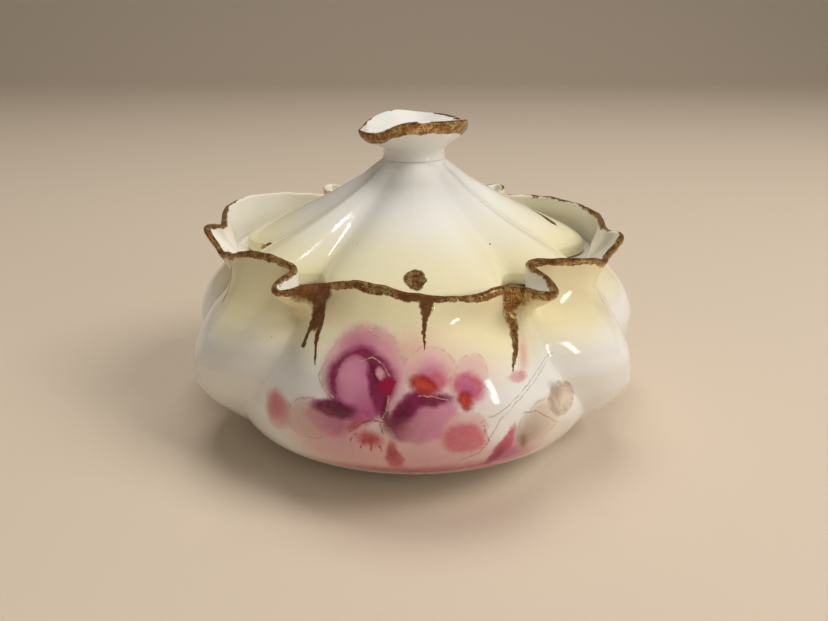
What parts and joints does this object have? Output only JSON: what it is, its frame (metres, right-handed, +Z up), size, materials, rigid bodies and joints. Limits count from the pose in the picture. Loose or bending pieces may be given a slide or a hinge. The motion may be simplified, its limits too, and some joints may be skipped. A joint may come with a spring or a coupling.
{
  "type": "sugar bowl",
  "caption": "Porcelain sugar bowl with lobed body, pleated gilt collar, scalloped lift-off lid and ruffled cup-shaped knob.",
  "frame": {"origin": "centre of the foot, on the surface the bowl stands on", "axes": "+Z up through the knob, -Y towards the painted front, +X to the right seen from the front"},
  "size_m": [0.1323, 0.1351, 0.0869],
  "materials": {
    "painted_porcelain": "glossy white glaze with cream tinted collar, painted pink and purple flowers, worn gold rim",
    "cream_porcelain": "glossy glaze, white at the neck fading to cream yellow at the scalloped edge, small gold dashes",
    "gilt_edged_porcelain": "glossy white glaze with a broad worn gold band on the ruffled edge"
  },
  "bodies": {
    "bowl": {"bowl": "painted_porcelain"},
    "lid": {"lid": "cream_porcelain", "knob": "gilt_edged_porcelain"}
  },
  "joints": [
    {"name": "lid_lift", "type": "slide", "parent": "bowl", "child": "lid", "axis": [0, 0, 1], "range_m": [0, 0.06]}
  ]
}
